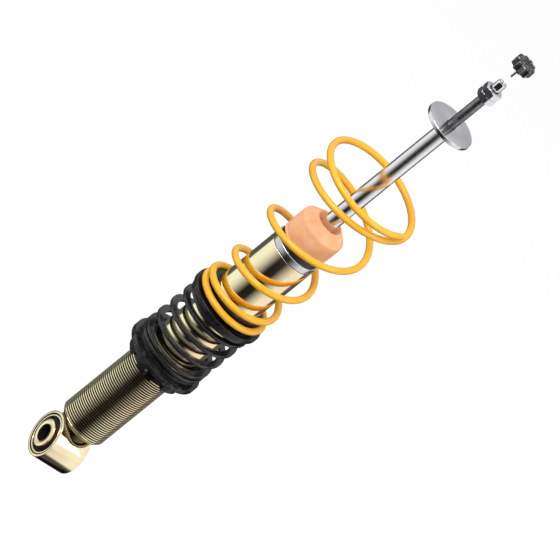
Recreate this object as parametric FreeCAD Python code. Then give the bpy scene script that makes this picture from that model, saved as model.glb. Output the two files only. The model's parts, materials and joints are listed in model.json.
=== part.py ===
"""Adjustable coilover damper: one STEP file per separate piece, in millimetres.

The damper axis is +Z. The origin is the centre of the lower eye, and the eye's bore runs along +Y.
At rest the rod is fully out, both springs are free, the seat is at the top of its thread, and the
adjuster knob is lifted off the rod.
"""
import FreeCAD, Part
import math
import os

V = FreeCAD.Vector

# ---- lower eye and its rubber bush (all along Y) ----
EYE_R = 23.5
EYE_LENGTH = 35.0
EYE_BORE_R = 20.0
EYE_CHAMFER = 1.0
SLEEVE_WALL = 1.8
RUBBER_BORE_R = 14.05
RUBBER_DISH = 2.4
INNER_SLEEVE_R = 14.0
INNER_SLEEVE_LENGTH = 40.0
BOLT_BORE_R = 8.5

# ---- damper body ----
TUBE_R = 25.0
TUBE_BORE_R = 21.5
TUBE_BOTTOM = 31.6
TUBE_TOP = 305.0
THREAD_PITCH = 2.5
THREAD_DEPTH = 1.3
THREAD_BOTTOM = 33.0
THREAD_TOP = 143.0
BASE_NECK_R = 16.5
BASE_NECK_TOP = 29.0
BASE_RIM_R = 22.6
BASE_EDGE_R = 24.6
BASE_SPIGOT_TOP = 42.0
WELD_LEG = 2.6
END_RING_TOP = 312.0
CAP_R = 23.5
CAP_TOP = 318.0

# ---- rod, piston and what is on them ----
ROD_R = 8.0
ROD_SHOULDER = 504.0
DISC_R = 25.75
DISC_TOP = 508.0
STUD_R = 5.0
STUD_PITCH = 1.5
STUD_THREAD_TOP = 549.5
STUD_TIP_BOTTOM = 564.6
STUD_TOP = 574.0
STUD_TIP_R = 4.9
STUD_TIP_FLATS = 8.4
FLATS_ANGLE = -36.5
NUT_ACROSS_FLATS = 17.0
NUT_HEIGHT = 6.8
NUT_ANGLE = -13.5
NUT_BOTTOMS = (549.8, 556.8)
PISTON_BOTTOM = 232.0
PISTON_TOP = 250.0
PISTON_PORTS = 6
ROD_BOTTOM = 222.0
REBOUND_STOP_TOP = 262.5
RUNNING_GAP = 0.05

# ---- seal head at the top of the tube ----
GUIDE_BOTTOM = 264.0
GUIDE_TOP = 292.0
GUIDE_BUSH_R = 9.5
SEAL_R = 13.0
SEAL_SEAT = 284.0

# ---- gas piston ----
GAS_PISTON_BOTTOM = 76.0
GAS_PISTON_TOP = 88.0

# ---- damping adjuster ----
ADJUSTER_R = 2.5
ADJUSTER_BOTTOM = 226.0
ADJUSTER_TOP = 573.2
HEX_KEY = 2.0
HEX_SOCKET = 2.2
HEX_SOCKET_DEPTH = 12.0
KNOB_R = 11.1
KNOB_BOTTOM = 595.4
KNOB_TOP = 605.5
KNOB_LOBES = 9
LOBE_ANGLE = -24.5
LOBE_R = 2.3
KEY_BOTTOM = 584.4

# ---- foam bump stop ----
BUMP_R = 24.75
BUMP_BOTTOM = 318.3
BUMP_TOP = 352.0
BUMP_BORE_R = 8.1

# ---- spring seat and its castellated adjuster ----
COLLAR_BOTTOM = 124.7
COLLAR_R = 32.0
COLLAR_BORE_R = 25.05
FLANGE_R = 40.0
FLANGE_BOTTOM = 135.5
FLANGE_TOP = 141.3
LUGS = 6
NOTCH_ANGLE = 24.0
NOTCH_FLOOR_R = 27.6
LUG_ANGLE = -39.0
SCREW_R = 2.0
SCREW_Z = 130.0
WASHER_R = 33.75
WASHER_TOP = 143.4
SEAT_R = 35.6
SEAT_TOP = 146.5
SEAT_BORE_R = 25.3
SEAT_PILOT_R = 29.8
SEAT_PILOT_TOP = 150.5

# ---- helper spring: flat wire, right-handed, closed ends ----
HELPER_R = 33.8
HELPER_WIDTH = 7.0
HELPER_THICKNESS = 3.4
HELPER_START_ANGLE = 143.5
HELPER_STATIONS = (
    (0.0, 148.35),
    (1.0, 151.95),
    (1.6, 156.2),
    (2.0, 162.2),
    (3.0, 178.9),
    (4.0, 195.7),
    (4.6, 205.8),
    (4.9, 209.9),
    (5.8, 214.35),
)

# ---- ring between the springs ----
SPACER_BOTTOM = 216.2
SPACER_TOP = 221.5
SPACER_HUB_R = 30.5
SPACER_HUB_TOP = 233.0

# ---- main spring: round wire, right-handed, conical; stations are turns, height, mean radius ----
WIRE_R = 3.3
MAIN_START_ANGLE = -126.5
MAIN_STATIONS = (
    (-0.2, 224.8, 34.8),
    (0.8, 231.6, 34.8),
    (2.0, 262.5, 34.8),
    (3.0, 315.6, 43.0),
    (4.0, 377.7, 50.4),
    (4.5, 400.8, 52.4),
    (4.8, 405.9, 52.9),
    (5.45, 407.6, 53.0),
)
SAMPLES_PER_TURN = 24


def turned(points):
    """Solid of revolution about Z from (radius, height) corners."""
    corners = [V(r, 0, z) for r, z in points]
    outline = Part.makePolygon(corners + corners[:1])
    return Part.Face(outline).revolve(V(0, 0, 0), V(0, 0, 1), 360)


def tube(outer_r, inner_r, bottom, top):
    """Plain hollow cylinder about Z."""
    return turned([(inner_r, bottom), (outer_r, bottom), (outer_r, top), (inner_r, top)])


def chamfered_tube(outer_r, inner_r, bottom, top, outer_edge, inner_edge=0.0):
    """Hollow cylinder about Z with its outer and inner edges broken at both ends."""
    points = [(inner_r + inner_edge, bottom), (outer_r - outer_edge, bottom)]
    points += [(outer_r, bottom + outer_edge), (outer_r, top - outer_edge)]
    points += [(outer_r - outer_edge, top), (inner_r + inner_edge, top)]
    if inner_edge:
        points += [(inner_r, top - inner_edge), (inner_r, bottom + inner_edge)]
    return turned(points)


def ring_grooves(radius, depth, pitch, bottom, top):
    """Outline points, going up, of a thread drawn as one V groove per pitch."""
    points = []
    for turn in range(int((top - bottom) / pitch)):
        start = bottom + turn * pitch
        points += [(radius, start + pitch * 0.1), (radius - depth, start + pitch * 0.5)]
        points += [(radius, start + pitch * 0.9)]
    return points


def along_y(shape):
    """Turn a shape made about Z so that its axis is Y."""
    return shape.rotate(V(0, 0, 0), V(1, 0, 0), 90)


def o_ring(centre_r, section_r, height):
    """Rubber ring about Z."""
    return Part.makeTorus(centre_r, section_r, V(0, 0, height))


def hexagon(across_flats, bottom, top):
    """Hexagonal prism about Z."""
    corner_r = across_flats / 2 / math.cos(math.pi / 6)
    corners = [
        V(corner_r * math.cos(k * math.pi / 3), corner_r * math.sin(k * math.pi / 3), bottom)
        for k in range(7)
    ]
    return Part.Face(Part.makePolygon(corners)).extrude(V(0, 0, top - bottom))


def through_stations(stations, turn, column):
    """Smooth value at a turn, by a Hermite curve that never overshoots the stations of one column."""
    rises = [
        (there[column] - here[column]) / (there[0] - here[0])
        for here, there in zip(stations, stations[1:])
    ]

    def slope(i):
        before, after = rises[max(i - 1, 0)], rises[min(i, len(rises) - 1)]
        return 2 * before * after / (before + after) if before * after > 0 else 0.0

    i = max(k for k in range(len(rises)) if stations[k][0] <= turn or k == 0)
    here, there = stations[i], stations[i + 1]
    span = there[0] - here[0]
    t = (turn - here[0]) / span
    return (
        (1 + 2 * t) * (1 - t) ** 2 * here[column]
        + t * (1 - t) ** 2 * span * slope(i)
        + t * t * (3 - 2 * t) * there[column]
        + t * t * (t - 1) * span * slope(i + 1)
    )


def coil_path(stations, start_angle, radius_of, height_of):
    """Curve that winds right-handed about Z through the stations' heights and radii."""
    first, last = stations[0][0], stations[-1][0]
    count = int((last - first) * SAMPLES_PER_TURN) + 1
    points = []
    for k in range(count + 1):
        turn = first + (last - first) * k / count
        angle = math.radians(start_angle + 360 * turn)
        radius = radius_of(turn)
        points.append(V(radius * math.cos(angle), radius * math.sin(angle), height_of(turn)))
    path = Part.BSplineCurve()
    path.interpolate(points)
    return path


# ---------------------------------------------------------------- lower eye

def lower_eye():
    return along_y(
        chamfered_tube(EYE_R, EYE_BORE_R, -EYE_LENGTH / 2, EYE_LENGTH / 2, EYE_CHAMFER, EYE_CHAMFER)
    )


def bush_outer_sleeve():
    half = EYE_LENGTH / 2 - 0.4
    return along_y(
        chamfered_tube(EYE_BORE_R, EYE_BORE_R - SLEEVE_WALL, -half, half, 0.5, 0.3)
    )


def bush_rubber():
    """Rubber bonded in the outer sleeve, dished at both ends."""
    outer_r = EYE_BORE_R - SLEEVE_WALL
    middle_r = (outer_r + RUBBER_BORE_R) / 2
    edge = EYE_LENGTH / 2 - 1.2
    floor = edge - RUBBER_DISH
    points = [(RUBBER_BORE_R, -edge), (middle_r, -floor), (outer_r, -edge)]
    points += [(outer_r, edge), (middle_r, floor), (RUBBER_BORE_R, edge)]
    return along_y(turned(points))


def bush_inner_sleeve():
    half = INNER_SLEEVE_LENGTH / 2
    return along_y(chamfered_tube(INNER_SLEEVE_R, BOLT_BORE_R, -half, half, 0.6, 0.5))


# ---------------------------------------------------------------- damper body

def eye_space(extra=0.0):
    """The room that the eye takes, with a little more round it if asked."""
    return along_y(Part.makeCylinder(EYE_R + extra, 4 * EYE_R, V(0, 0, -2 * EYE_R)))


def tube_base():
    """Turned base that closes the tube; its neck is cut to sit on the eye."""
    groove = BASE_SPIGOT_TOP - 4.4
    points = [(0, 0), (BASE_NECK_R, 0), (BASE_NECK_R, BASE_NECK_TOP), (BASE_RIM_R, BASE_NECK_TOP)]
    points += [(BASE_EDGE_R, TUBE_BOTTOM), (TUBE_BORE_R, TUBE_BOTTOM), (TUBE_BORE_R, groove)]
    points += [(TUBE_BORE_R - 2.4, groove), (TUBE_BORE_R - 2.4, groove + 3)]
    points += [(TUBE_BORE_R, groove + 3), (TUBE_BORE_R, BASE_SPIGOT_TOP)]
    points += [(12, BASE_SPIGOT_TOP), (8, BASE_SPIGOT_TOP - 5), (0, BASE_SPIGOT_TOP - 5)]
    return turned(points).cut(eye_space())


def base_o_ring():
    return o_ring(TUBE_BORE_R - 1.25, 1.15, BASE_SPIGOT_TOP - 2.9)


def eye_weld():
    """Weld bead that follows the saddle line where the base's neck meets the eye."""
    bead = tube(BASE_NECK_R + WELD_LEG, BASE_NECK_R - 1, 0, BASE_NECK_TOP)
    eye_width = Part.makeBox(100, EYE_LENGTH, 100, V(-50, -EYE_LENGTH / 2, 0))
    return bead.common(eye_space(WELD_LEG)).common(eye_width).cut(eye_space()).cut(tube_base())


def body_tube():
    points = [(TUBE_BORE_R, TUBE_BOTTOM), (TUBE_R - 0.4, TUBE_BOTTOM)]
    points += ring_grooves(TUBE_R, THREAD_DEPTH, THREAD_PITCH, THREAD_BOTTOM, THREAD_TOP)
    points += [(TUBE_R, TUBE_TOP - 0.6), (TUBE_R - 0.6, TUBE_TOP), (TUBE_BORE_R, TUBE_TOP)]
    return turned(points)


def rod_guide():
    """Seal head that closes the tube and carries the rod's bush and seal."""
    groove = GUIDE_BOTTOM + 10
    points = [(GUIDE_BUSH_R, GUIDE_BOTTOM), (TUBE_BORE_R - 1, GUIDE_BOTTOM)]
    points += [(TUBE_BORE_R, GUIDE_BOTTOM + 1), (TUBE_BORE_R, groove)]
    points += [(TUBE_BORE_R - 2.6, groove), (TUBE_BORE_R - 2.6, groove + 3.4)]
    points += [(TUBE_BORE_R, groove + 3.4), (TUBE_BORE_R, GUIDE_TOP), (SEAL_R, GUIDE_TOP)]
    points += [(SEAL_R, SEAL_SEAT), (GUIDE_BUSH_R, SEAL_SEAT)]
    return turned(points)


def guide_bush():
    return tube(GUIDE_BUSH_R, ROD_R + RUNNING_GAP, GUIDE_BOTTOM + 1.5, SEAL_SEAT - 0.5)


def guide_o_ring():
    return o_ring(TUBE_BORE_R - 1.35, 1.25, GUIDE_BOTTOM + 11.7)


def rod_seal():
    """Lip seal: a cupped rubber ring that runs on the rod."""
    lip_r = ROD_R + RUNNING_GAP
    points = [(lip_r, SEAL_SEAT + 0.2), (SEAL_R, SEAL_SEAT + 0.2), (SEAL_R, GUIDE_TOP - 0.4)]
    points += [(lip_r + 2.6, GUIDE_TOP - 0.4), (lip_r + 1.4, SEAL_SEAT + 4), (lip_r, SEAL_SEAT + 2.4)]
    return turned(points)


def end_ring():
    """Threaded ring that holds the seal head down; its rim shows above the tube."""
    points = [(ROD_R + 1.2, GUIDE_TOP + 0.3), (TUBE_BORE_R - 0.05, GUIDE_TOP + 0.3)]
    points += [(TUBE_BORE_R - 0.05, TUBE_TOP), (TUBE_R - 0.3, TUBE_TOP)]
    points += [(TUBE_R - 0.3, END_RING_TOP - 0.8), (TUBE_R - 1.1, END_RING_TOP)]
    points += [(SEAL_R, END_RING_TOP), (SEAL_R, END_RING_TOP - 6), (ROD_R + 1.2, END_RING_TOP - 6)]
    return turned(points)


def dust_wiper():
    """Rubber wiper in the end ring's counterbore."""
    lip_r = ROD_R + RUNNING_GAP
    points = [(lip_r + 1.6, END_RING_TOP - 5.8), (SEAL_R - 0.05, END_RING_TOP - 5.8)]
    points += [(SEAL_R - 0.05, END_RING_TOP), (lip_r + 0.8, END_RING_TOP), (lip_r, END_RING_TOP - 1.8)]
    points += [(lip_r, END_RING_TOP - 3)]
    return turned(points)


def dust_cap():
    """Plastic cap on the end ring, where the bump stop sits."""
    points = [(ROD_R + 0.5, END_RING_TOP + 1), (CAP_R - 3, END_RING_TOP + 1), (CAP_R - 3, END_RING_TOP)]
    points += [(CAP_R, END_RING_TOP), (CAP_R, CAP_TOP - 1.2), (CAP_R - 1.2, CAP_TOP)]
    points += [(ROD_R + 0.5, CAP_TOP)]
    return turned(points)


# ---------------------------------------------------------------- gas piston

def gas_piston():
    """Floating piston that parts the oil from the gas."""
    groove = GAS_PISTON_BOTTOM + 4.4
    outer_r = TUBE_BORE_R - RUNNING_GAP
    points = [(0, GAS_PISTON_BOTTOM + 4), (14, GAS_PISTON_BOTTOM + 4), (16, GAS_PISTON_BOTTOM)]
    points += [(outer_r, GAS_PISTON_BOTTOM), (outer_r, groove), (outer_r - 2.4, groove)]
    points += [(outer_r - 2.4, groove + 3.2), (outer_r, groove + 3.2), (outer_r, GAS_PISTON_TOP)]
    points += [(0, GAS_PISTON_TOP)]
    return turned(points)


def gas_piston_o_ring():
    return o_ring(TUBE_BORE_R - RUNNING_GAP - 1.25, 1.2, GAS_PISTON_BOTTOM + 6)


# ---------------------------------------------------------------- rod and piston

def piston_rod():
    """Hollow rod: piston spigot below, shoulder and threaded stud above, flats at the tip."""
    bore_r = ADJUSTER_R + RUNNING_GAP
    points = [(bore_r, ROD_BOTTOM), (STUD_R, ROD_BOTTOM), (STUD_R, PISTON_TOP + 2)]
    points += [(ROD_R, PISTON_TOP + 2), (ROD_R, ROD_SHOULDER - 0.5), (ROD_R - 0.5, ROD_SHOULDER)]
    points += [(STUD_R, ROD_SHOULDER)]
    points += ring_grooves(STUD_R, 0.85, STUD_PITCH, DISC_TOP + 1, STUD_THREAD_TOP)
    points += [(STUD_R, STUD_TIP_BOTTOM), (STUD_TIP_R, STUD_TIP_BOTTOM + 0.2)]
    points += [(STUD_TIP_R, STUD_TOP - 0.5), (STUD_TIP_R - 0.5, STUD_TOP), (bore_r, STUD_TOP)]
    rod = turned(points)
    for side in (-1, 1):
        height = STUD_TOP - STUD_TIP_BOTTOM
        flat = Part.makeBox(20, 20, height, V(-10, -10, STUD_TIP_BOTTOM + 1.2))
        flat.translate(V(side * (10 + STUD_TIP_FLATS / 2), 0, 0))
        rod = rod.cut(flat.rotate(V(0, 0, 0), V(0, 0, 1), FLATS_ANGLE))
    port = Part.makeCylinder(1.2, 4 * STUD_R, V(0, -2 * STUD_R, PISTON_BOTTOM - 4), V(0, 1, 0))
    return rod.cut(port)


def support_disc():
    """Polished washer on the rod's shoulder, which carries the top mount."""
    return chamfered_tube(DISC_R, STUD_R + 0.1, ROD_SHOULDER, DISC_TOP, 0.5)


def piston():
    body = chamfered_tube(TUBE_BORE_R - 0.8, STUD_R, PISTON_BOTTOM, PISTON_TOP, 0.5)
    band_groove = tube(TUBE_BORE_R, TUBE_BORE_R - 2, PISTON_BOTTOM + 4, PISTON_TOP - 4)
    body = body.cut(band_groove)
    for k in range(PISTON_PORTS):
        angle = 2 * math.pi * k / PISTON_PORTS
        centre = V(13 * math.cos(angle), 13 * math.sin(angle), PISTON_BOTTOM - 1)
        body = body.cut(Part.makeCylinder(2.4, PISTON_TOP - PISTON_BOTTOM + 2, centre))
    return body


def piston_band():
    """Low-friction band that runs in the tube."""
    return tube(TUBE_BORE_R - RUNNING_GAP, TUBE_BORE_R - 2, PISTON_BOTTOM + 4.1, PISTON_TOP - 4.1)


def shim_stack(bottom, direction):
    """Spring-steel shims, each smaller than the one before, going up or down from a face."""
    stack = []
    for k, radius in enumerate((17.0, 15.0, 13.0, 10.0)):
        low = bottom + direction * 0.5 * k
        stack.append(tube(radius, STUD_R, min(low, low + direction * 0.45), max(low, low + direction * 0.45)))
    return Part.makeCompound(stack)


def compression_shims():
    return shim_stack(PISTON_TOP, 1)


def rebound_shims():
    return shim_stack(PISTON_BOTTOM, -1)


def piston_nut():
    nut = hexagon(16.0, PISTON_BOTTOM - 9, PISTON_BOTTOM - 2.1)
    return nut.cut(Part.makeCylinder(STUD_R, 12, V(0, 0, PISTON_BOTTOM - 10)))


def rebound_stop():
    """Bumper on the rod that meets the seal head at full extension."""
    return chamfered_tube(12.0, ROD_R, PISTON_TOP + 2.2, REBOUND_STOP_TOP, 1.5)


def stud_nuts():
    """Two equal hexagon nuts, run against each other near the stud's tip."""
    nuts = []
    for bottom in NUT_BOTTOMS:
        blank = hexagon(NUT_ACROSS_FLATS, bottom, bottom + NUT_HEIGHT)
        blank.rotate(V(0, 0, 0), V(0, 0, 1), NUT_ANGLE)
        corner_r = NUT_ACROSS_FLATS / 2 / math.cos(math.pi / 6)
        shape = chamfered_tube(corner_r, STUD_R + 0.02, bottom, bottom + NUT_HEIGHT, 0.7, 0.5)
        nuts.append(blank.common(shape))
    return Part.makeCompound(nuts)


# ---------------------------------------------------------------- damping adjuster

def adjuster_rod():
    """Thin rod inside the piston rod: metering needle below, hexagon socket above."""
    points = [(0, ADJUSTER_BOTTOM), (0.6, ADJUSTER_BOTTOM), (ADJUSTER_R, ADJUSTER_BOTTOM + 8)]
    points += [(ADJUSTER_R, ADJUSTER_TOP - 0.3), (ADJUSTER_R - 0.3, ADJUSTER_TOP), (0, ADJUSTER_TOP)]
    socket = hexagon(HEX_SOCKET, ADJUSTER_TOP - HEX_SOCKET_DEPTH, ADJUSTER_TOP + 1)
    groove = tube(ADJUSTER_R + 1, ADJUSTER_R - 0.9, 300, 302)
    return turned(points).cut(socket).cut(groove)


def adjuster_o_ring():
    return o_ring(ADJUSTER_R - 0.02 - 0.42, 0.42, 301)


def adjuster_knob():
    """Lobed hand knob with a crowned top."""
    lobe_centre_r = KNOB_R - LOBE_R
    blank = chamfered_tube(KNOB_R - 1.5, 1.2, KNOB_BOTTOM, KNOB_TOP, 0.6)
    for k in range(KNOB_LOBES):
        angle = math.radians(LOBE_ANGLE + 360 / KNOB_LOBES * k)
        lobe = chamfered_disc(LOBE_R, KNOB_BOTTOM, KNOB_TOP, 0.6)
        lobe.translate(V(lobe_centre_r * math.cos(angle), lobe_centre_r * math.sin(angle), 0))
        blank = blank.fuse(lobe)
    recess = Part.makeCylinder(5.5, 0.8, V(0, 0, KNOB_TOP - 0.8))
    return blank.cut(recess).removeSplitter()


def chamfered_disc(radius, bottom, top, edge):
    """Solid disc about Z with broken edges."""
    points = [(0, bottom), (radius - edge, bottom), (radius, bottom + edge)]
    points += [(radius, top - edge), (radius - edge, top), (0, top)]
    return turned(points)


def knob_key():
    """Hexagon key fixed in the knob; it plugs into the adjuster rod."""
    shank = hexagon(HEX_KEY, KEY_BOTTOM, KNOB_TOP - 2)
    return shank


# ---------------------------------------------------------------- bump stop

def bump_stop():
    """Foam bump stop: foot lip, straight body, conical shoulder and a funnel round the rod."""
    points = [(BUMP_BORE_R, BUMP_BOTTOM), (BUMP_R - 0.8, BUMP_BOTTOM), (BUMP_R, BUMP_BOTTOM + 0.8)]
    points += [(BUMP_R, BUMP_BOTTOM + 2), (BUMP_R - 1, BUMP_BOTTOM + 3), (BUMP_R, BUMP_BOTTOM + 4)]
    points += [(BUMP_R, BUMP_TOP - 9), (BUMP_R - 1, BUMP_TOP - 7.6), (15, BUMP_TOP)]
    points += [(13.4, BUMP_TOP), (BUMP_BORE_R, BUMP_TOP - 10)]
    return turned(points)


# ---------------------------------------------------------------- spring seat

def notch(angle):
    """Cutter for one spanner notch, as deep as the notch floor and as high as the lugs."""
    half = math.radians(NOTCH_ANGLE / 2)
    outer = FLANGE_R + 5
    corners = [
        V(NOTCH_FLOOR_R * math.cos(half), -NOTCH_FLOOR_R * math.sin(half), COLLAR_BOTTOM - 1),
        V(outer * math.cos(half), -outer * math.sin(half), COLLAR_BOTTOM - 1),
        V(outer * math.cos(half), outer * math.sin(half), COLLAR_BOTTOM - 1),
        V(NOTCH_FLOOR_R * math.cos(half), NOTCH_FLOOR_R * math.sin(half), COLLAR_BOTTOM - 1),
    ]
    cutter = Part.Face(Part.makePolygon(corners + corners[:1]))
    cutter = cutter.extrude(V(0, 0, FLANGE_BOTTOM - COLLAR_BOTTOM + 1))
    return cutter.rotate(V(0, 0, 0), V(0, 0, 1), angle)


def screw_hole(radius, start, length):
    """Radial cylinder through the lug that carries the locking screw."""
    turn = math.radians(LUG_ANGLE)
    out = V(math.cos(turn), math.sin(turn), 0)
    return Part.makeCylinder(radius, length, out * start + V(0, 0, SCREW_Z), out)


def adjuster_collar():
    """Castellated nut that carries the spring seat; it turns on the body's thread."""
    edge = 0.9
    points = [(COLLAR_BORE_R + edge, COLLAR_BOTTOM), (COLLAR_R - edge, COLLAR_BOTTOM)]
    points += [(COLLAR_R, COLLAR_BOTTOM + edge), (COLLAR_R, FLANGE_BOTTOM)]
    points += [(FLANGE_R - edge, FLANGE_BOTTOM), (FLANGE_R, FLANGE_BOTTOM + edge)]
    points += [(FLANGE_R, FLANGE_TOP - edge), (FLANGE_R - edge, FLANGE_TOP)]
    points += [(COLLAR_BORE_R, FLANGE_TOP), (COLLAR_BORE_R, COLLAR_BOTTOM + edge)]
    collar = turned(points)
    for k in range(LUGS):
        collar = collar.cut(notch(LUG_ANGLE + 360 / LUGS * (k + 0.5)))
    return collar.cut(screw_hole(SCREW_R, COLLAR_BORE_R - 1, 20))


def collar_screw():
    """Grub screw in the lug, with a hexagon socket in its outer end."""
    start, length = COLLAR_BORE_R + 2.0, 3.6
    screw = screw_hole(SCREW_R, start, length)
    socket = hexagon(2.0, 0, 2.0)
    socket.rotate(V(0, 0, 0), V(0, 1, 0), 90)
    socket.rotate(V(0, 0, 0), V(0, 0, 1), LUG_ANGLE)
    turn = math.radians(LUG_ANGLE)
    reach = start + length - 1.6
    socket.translate(V(reach * math.cos(turn), reach * math.sin(turn), SCREW_Z))
    return screw.cut(socket)


def collar_lock_pad():
    """Soft pad that the grub screw presses on the thread."""
    return screw_hole(SCREW_R - 0.1, COLLAR_BORE_R + 0.3, 1.6)


def slip_washer():
    """Low-friction washer that lets the collar turn under the seat."""
    return tube(WASHER_R, SEAT_BORE_R, FLANGE_TOP + 0.1, WASHER_TOP)


def seat_ring():
    """Ring that carries the helper spring, with a pilot inside its first coil."""
    edge = 0.6
    points = [(SEAT_BORE_R, WASHER_TOP), (SEAT_R - edge, WASHER_TOP), (SEAT_R, WASHER_TOP + edge)]
    points += [(SEAT_R, SEAT_TOP - edge), (SEAT_R - edge, SEAT_TOP), (SEAT_PILOT_R, SEAT_TOP)]
    points += [(SEAT_PILOT_R, SEAT_PILOT_TOP - 1), (SEAT_PILOT_R - 1, SEAT_PILOT_TOP)]
    points += [(SEAT_BORE_R, SEAT_PILOT_TOP)]
    return turned(points)


# ---------------------------------------------------------------- springs

def helper_spring():
    path = coil_path(
        HELPER_STATIONS,
        HELPER_START_ANGLE,
        lambda turn: HELPER_R,
        lambda turn: through_stations(HELPER_STATIONS, turn, 1),
    )
    start = path.value(path.FirstParameter)
    out = V(start.x, start.y, 0).normalize() * (HELPER_WIDTH / 2)
    up = V(0, 0, HELPER_THICKNESS / 2)
    corners = [start - out - up, start + out - up, start + out + up, start - out + up]
    section = Part.makePolygon(corners + corners[:1])
    sweep = Part.BRepOffsetAPI.MakePipeShell(Part.Wire([path.toShape()]))
    sweep.setBiNormalMode(V(0, 0, 1))
    sweep.add(section)
    sweep.build()
    sweep.makeSolid()
    return sweep.shape()


def spacer_ring():
    """Ring between the helper spring and the main spring, with a hub inside the main spring."""
    edge = 0.8
    points = [(SEAT_BORE_R, SPACER_BOTTOM), (FLANGE_R - edge, SPACER_BOTTOM)]
    points += [(FLANGE_R, SPACER_BOTTOM + edge), (FLANGE_R, SPACER_TOP - edge)]
    points += [(FLANGE_R - edge, SPACER_TOP), (SPACER_HUB_R, SPACER_TOP)]
    points += [(SPACER_HUB_R, SPACER_HUB_TOP - 1), (SPACER_HUB_R - 1, SPACER_HUB_TOP)]
    points += [(SEAT_BORE_R, SPACER_HUB_TOP)]
    return turned(points)


def main_spring():
    path = coil_path(
        MAIN_STATIONS,
        MAIN_START_ANGLE,
        lambda turn: through_stations(MAIN_STATIONS, turn, 2),
        lambda turn: through_stations(MAIN_STATIONS, turn, 1),
    )
    start = path.value(path.FirstParameter)
    heading = path.tangent(path.FirstParameter)[0]
    section = Part.Wire([Part.makeCircle(WIRE_R, start, heading)])
    return Part.Wire([path.toShape()]).makePipeShell([section], True, True)


PIECES = (
    lower_eye, bush_outer_sleeve, bush_rubber, bush_inner_sleeve, eye_weld, tube_base, base_o_ring,
    body_tube, rod_guide, guide_bush, guide_o_ring, rod_seal, end_ring, dust_wiper, dust_cap,
    gas_piston, gas_piston_o_ring, piston_rod, support_disc, piston, piston_band,
    compression_shims, rebound_shims, piston_nut, rebound_stop, stud_nuts, adjuster_rod,
    adjuster_o_ring, adjuster_knob, knob_key, bump_stop, adjuster_collar, collar_screw,
    collar_lock_pad, slip_washer, seat_ring, helper_spring, spacer_ring, main_spring,
)


def main():
    os.makedirs("parts", exist_ok=True)
    for piece in PIECES:
        shape = piece()
        solids = len(shape.Solids)
        print(f"{piece.__name__:20s} solids {solids}  volume {shape.Volume:10.1f}  valid {shape.isValid()}")
        shape.exportStep(f"parts/{piece.__name__}.step")


main()
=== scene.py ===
import json
import math

import bmesh
import bpy
from mathutils import Matrix, Vector, noise


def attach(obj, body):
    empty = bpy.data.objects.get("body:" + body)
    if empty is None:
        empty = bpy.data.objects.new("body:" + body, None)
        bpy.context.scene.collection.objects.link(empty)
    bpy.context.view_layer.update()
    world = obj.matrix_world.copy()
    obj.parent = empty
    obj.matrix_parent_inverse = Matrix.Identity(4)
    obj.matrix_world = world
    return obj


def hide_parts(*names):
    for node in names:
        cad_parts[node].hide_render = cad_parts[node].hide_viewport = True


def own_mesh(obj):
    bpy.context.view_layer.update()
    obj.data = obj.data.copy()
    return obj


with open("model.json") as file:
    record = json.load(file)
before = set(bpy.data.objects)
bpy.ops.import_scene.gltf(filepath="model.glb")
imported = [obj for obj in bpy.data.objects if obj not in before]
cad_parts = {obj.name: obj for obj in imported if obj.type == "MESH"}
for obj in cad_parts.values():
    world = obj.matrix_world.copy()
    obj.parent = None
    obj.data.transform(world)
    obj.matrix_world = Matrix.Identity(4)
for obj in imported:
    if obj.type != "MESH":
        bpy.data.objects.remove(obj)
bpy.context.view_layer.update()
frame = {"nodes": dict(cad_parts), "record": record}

MM = 0.001
NODES = frame["nodes"]

# ---- the view: looking down on the upright damper, with the damper leaning to the right in the picture
VIEW_AZIMUTH = math.radians(53.5)
VIEW_ELEVATION = math.radians(26.7)
VIEW_ROLL = math.radians(51.0)
VIEW_DISTANCE = 23.0
VIEW_TARGET_Z = 0.2765
VIEW_TARGET_RIGHT = 0.0115
VIEW_CLIP = (0.01, 200.0)
SENSOR = 36.0
PICTURE = 560
PIXELS_PER_METRE = 1112.0

# ---- studio: the screens' turn from the camera, how dark each is, and the edges of their shade
SCREEN_TURN = math.radians(-3.0)
FRONT_SCREEN = 0.985
FRONT_RISE = 1.08
FRONT_FALL = 2.6
BACK_SCREEN = 0.9
BACK_EDGE = (0.30, 0.46)
SCREEN_TOP = (0.02, 0.22)
GROUND = 0.93
GROUND_EDGE = (0.60, 0.76)
BACK_SKY = 0.45
FLOOR_Z = -0.9
FLOOR_HALF = 30.0

# ---- lights: name, azimuth, elevation, distance, size, power
LIGHTS = (
    ("key", 5.0, 50.0, 3.0, (1.6, 1.6), 45.0),
    ("fill", 120.0, 35.0, 3.0, (1.4, 2.0), 18.0),
)

# ---- materials: roughness of every noise, and features a metre along X, Y and Z in turning marks
NOISE_ROUGHNESS = 0.55
TURNED_RINGS = (60.0, 60.0, 4000.0)

# ---- driving sizes of the pieces made here, in millimetres, as in the CAD model
ROUND = 96
EYE_R = 23.5
EYE_HALF = 17.5
EYE_BORE_R = 20.0
SLEEVE_BORE_R = 18.2
BOLT_SLEEVE_R = 14.0
BOLT_SLEEVE_HALF = 20.0
BOLT_R = 8.5
NECK_R = 16.5
TUBE_R = 25.0
TUBE_BORE_R = 21.5
TUBE_BOTTOM = 31.6
TUBE_TOP = 305.0
RING_BORE_R = 25.3
COLLAR_BORE_R = 25.05
COLLAR_R = 40.0
COLLAR_BOTTOM = 124.7
COLLAR_TOP = 141.3
FLANGE_BOTTOM = 135.5
LUGS = 6
LUG_R = 32.0
NOTCH_R = 27.6
NOTCH_HALF = 12.0
LUG_ANGLE = -39.0
SCREW_Z = 130.0
ROD_R = 8.0
ROD_FOOT = 252.0
SHOULDER_Z = 504.0
SPIGOT_R = 5.0
SPIGOT_BOTTOM = 222.0
ROD_BORE_R = 2.55
DISC_R = 25.75
DISC_TOP = 508.0
THREAD = {"r": TUBE_R, "root": 23.7, "pitch": 2.5, "bottom": 32.6, "top": 143.2, "crest": 0.13}
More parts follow.
